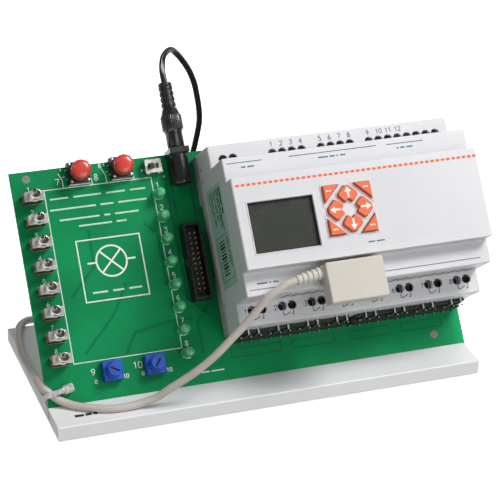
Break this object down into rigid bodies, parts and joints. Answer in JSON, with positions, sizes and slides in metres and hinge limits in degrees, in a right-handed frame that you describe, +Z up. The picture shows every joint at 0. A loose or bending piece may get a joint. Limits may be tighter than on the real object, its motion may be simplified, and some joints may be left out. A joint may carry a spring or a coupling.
{
  "type": "plc training module",
  "caption": "Micro PLC with display and keypad on a sloping practice board with toggle switches, push buttons, dials and lamps, standing on a flat base plate.",
  "frame": {"origin": "middle of the object's footprint, without the cords, on the surface that its feet stand on", "axes": "+Z up, -Y towards the front, where the controls face, +X to the right along the base plate's long side"},
  "size_m": [0.2226, 0.1856, 0.145],
  "materials": {
    "base_grey": "matte",
    "rubber_black": "matte",
    "board_green": "satin",
    "brace_grey": "matte",
    "bright_steel": "satin",
    "switch_red": "gloss",
    "black_plastic": "satin",
    "button_red": "gloss",
    "dial_blue": "satin",
    "lamp_green": "gloss",
    "gold_pin": "polished",
    "housing_grey": "fine texture",
    "display_dark": "satin",
    "display_glass": "gloss",
    "key_orange": "satin",
    "nylon_clear": "satin",
    "plug_beige": "satin",
    "cable_beige": "satin",
    "lead_black": "satin"
  },
  "bodies": {
    "module_frame": {"base_plate": "base_grey", "rubber_feet": "rubber_black", "circuit_board": "board_green", "rear_braces": "brace_grey", "brace_screws": "bright_steel", "board_spacers": "rubber_black", "toggle_housings": "switch_red", "toggle_frames": "bright_steel", "push_button_bases": "black_plastic", "slide_switch_body": "bright_steel", "dial_bodies": "dial_blue", "output_lamps": "lamp_green", "box_header": "black_plastic", "header_pins": "gold_pin", "dc_jack": "black_plastic", "terminal_strips": "black_plastic", "terminal_pins": "gold_pin", "plc_rear_housing": "housing_grey", "plc_front_cover": "housing_grey", "plc_display_module": "display_dark", "plc_display_window": "display_glass", "plc_key_mat": "key_orange", "plc_cpu_board": "board_green", "plc_io_board": "board_green", "plc_relays": "black_plastic", "plc_power_parts": "dial_blue", "plc_terminal_clamps": "bright_steel", "plc_terminal_screws": "bright_steel", "plc_port_socket": "black_plastic", "din_clip": "key_orange", "cable_tie": "nylon_clear", "programming_plug": "plug_beige", "programming_cable": "cable_beige", "programming_cable_coil": "cable_beige", "usb_connector": "plug_beige", "dc_plug": "lead_black", "supply_lead": "lead_black", "supply_lead_coil": "lead_black", "twin_supply_plug": "black_plastic"},
    "toggle_lever_1": {"toggle_lever_1": "bright_steel"},
    "toggle_lever_2": {"toggle_lever_2": "bright_steel"},
    "toggle_lever_3": {"toggle_lever_3": "bright_steel"},
    "toggle_lever_4": {"toggle_lever_4": "bright_steel"},
    "toggle_lever_5": {"toggle_lever_5": "bright_steel"},
    "toggle_lever_6": {"toggle_lever_6": "bright_steel"},
    "toggle_lever_7": {"toggle_lever_7": "bright_steel"},
    "toggle_lever_8": {"toggle_lever_8": "bright_steel"},
    "push_button_cap_7": {"push_button_cap_7": "button_red"},
    "push_button_cap_8": {"push_button_cap_8": "button_red"},
    "slide_switch_knob": {"slide_switch_knob": "black_plastic"},
    "dial_knob_a": {"dial_knob_a": "dial_blue"},
    "dial_knob_b": {"dial_knob_b": "dial_blue"},
    "key_up": {"key_up": "key_orange"},
    "key_right": {"key_right": "key_orange"},
    "key_down": {"key_down": "key_orange"},
    "key_left": {"key_left": "key_orange"},
    "key_top_left": {"key_top_left": "key_orange"},
    "key_top_right": {"key_top_right": "key_orange"},
    "key_bottom_left": {"key_bottom_left": "key_orange"},
    "key_bottom_right": {"key_bottom_right": "key_orange"}
  },
  "joints": [
    {"name": "toggle_1_throw", "type": "hinge", "parent": "module_frame", "child": "toggle_lever_1", "pos_m": [-0.0999, 0.02059, 0.09549], "axis": [0, 0.6004, 0.7997], "range_deg": [0, 18]},
    {"name": "toggle_2_throw", "type": "hinge", "parent": "module_frame", "child": "toggle_lever_2", "pos_m": [-0.0999, 0.01374, 0.08638], "axis": [0, 0.6004, 0.7997], "range_deg": [0, 18]},
    {"name": "toggle_3_throw", "type": "hinge", "parent": "module_frame", "child": "toggle_lever_3", "pos_m": [-0.0999, 0.0069, 0.07726], "axis": [0, 0.6004, 0.7997], "range_deg": [0, 18]},
    {"name": "toggle_4_throw", "type": "hinge", "parent": "module_frame", "child": "toggle_lever_4", "pos_m": [-0.0999, 0.00005, 0.06814], "axis": [0, 0.6004, 0.7997], "range_deg": [0, 18]},
    {"name": "toggle_5_throw", "type": "hinge", "parent": "module_frame", "child": "toggle_lever_5", "pos_m": [-0.0999, -0.00679, 0.05903], "axis": [0, 0.6004, 0.7997], "range_deg": [0, 18]},
    {"name": "toggle_6_throw", "type": "hinge", "parent": "module_frame", "child": "toggle_lever_6", "pos_m": [-0.0999, -0.01364, 0.04991], "axis": [0, 0.6004, 0.7997], "range_deg": [0, 18]},
    {"name": "toggle_7_throw", "type": "hinge", "parent": "module_frame", "child": "toggle_lever_7", "pos_m": [-0.0999, -0.02048, 0.04079], "axis": [0, 0.6004, 0.7997], "range_deg": [0, 18]},
    {"name": "toggle_8_throw", "type": "hinge", "parent": "module_frame", "child": "toggle_lever_8", "pos_m": [-0.0999, -0.02733, 0.03168], "axis": [0, 0.6004, 0.7997], "range_deg": [0, 18]},
    {"name": "push_button_7_press", "type": "slide", "parent": "module_frame", "child": "push_button_cap_7", "axis": [0, 0.7997, -0.6004], "range_m": [0, 0.0005], "stiffness_N_per_m": 1200, "springref_m": -0.0004},
    {"name": "push_button_8_press", "type": "slide", "parent": "module_frame", "child": "push_button_cap_8", "axis": [0, 0.7997, -0.6004], "range_m": [0, 0.0005], "stiffness_N_per_m": 1200, "springref_m": -0.0004},
    {"name": "slide_switch_travel", "type": "slide", "parent": "module_frame", "child": "slide_switch_knob", "axis": [1, 0, 0], "range_m": [0, 0.0024]},
    {"name": "dial_a_turn", "type": "hinge", "parent": "module_frame", "child": "dial_knob_a", "pos_m": [-0.0543, -0.02963, 0.02278], "axis": [0, -0.7997, 0.6004], "range_deg": [-135, 135]},
    {"name": "dial_b_turn", "type": "hinge", "parent": "module_frame", "child": "dial_knob_b", "pos_m": [-0.0757, -0.02963, 0.02278], "axis": [0, -0.7997, 0.6004], "range_deg": [-135, 135]},
    {"name": "key_up_press", "type": "slide", "parent": "module_frame", "child": "key_up", "axis": [0, 0.7997, -0.6004], "range_m": [0, 0.0006], "stiffness_N_per_m": 900, "springref_m": -0.0004},
    {"name": "key_right_press", "type": "slide", "parent": "module_frame", "child": "key_right", "axis": [0, 0.7997, -0.6004], "range_m": [0, 0.0006], "stiffness_N_per_m": 900, "springref_m": -0.0004},
    {"name": "key_down_press", "type": "slide", "parent": "module_frame", "child": "key_down", "axis": [0, 0.7997, -0.6004], "range_m": [0, 0.0006], "stiffness_N_per_m": 900, "springref_m": -0.0004},
    {"name": "key_left_press", "type": "slide", "parent": "module_frame", "child": "key_left", "axis": [0, 0.7997, -0.6004], "range_m": [0, 0.0006], "stiffness_N_per_m": 900, "springref_m": -0.0004},
    {"name": "key_top_left_press", "type": "slide", "parent": "module_frame", "child": "key_top_left", "axis": [0, 0.7997, -0.6004], "range_m": [0, 0.0006], "stiffness_N_per_m": 900, "springref_m": -0.0004},
    {"name": "key_top_right_press", "type": "slide", "parent": "module_frame", "child": "key_top_right", "axis": [0, 0.7997, -0.6004], "range_m": [0, 0.0006], "stiffness_N_per_m": 900, "springref_m": -0.0004},
    {"name": "key_bottom_left_press", "type": "slide", "parent": "module_frame", "child": "key_bottom_left", "axis": [0, 0.7997, -0.6004], "range_m": [0, 0.0006], "stiffness_N_per_m": 900, "springref_m": -0.0004},
    {"name": "key_bottom_right_press", "type": "slide", "parent": "module_frame", "child": "key_bottom_right", "axis": [0, 0.7997, -0.6004], "range_m": [0, 0.0006], "stiffness_N_per_m": 900, "springref_m": -0.0004}
  ]
}
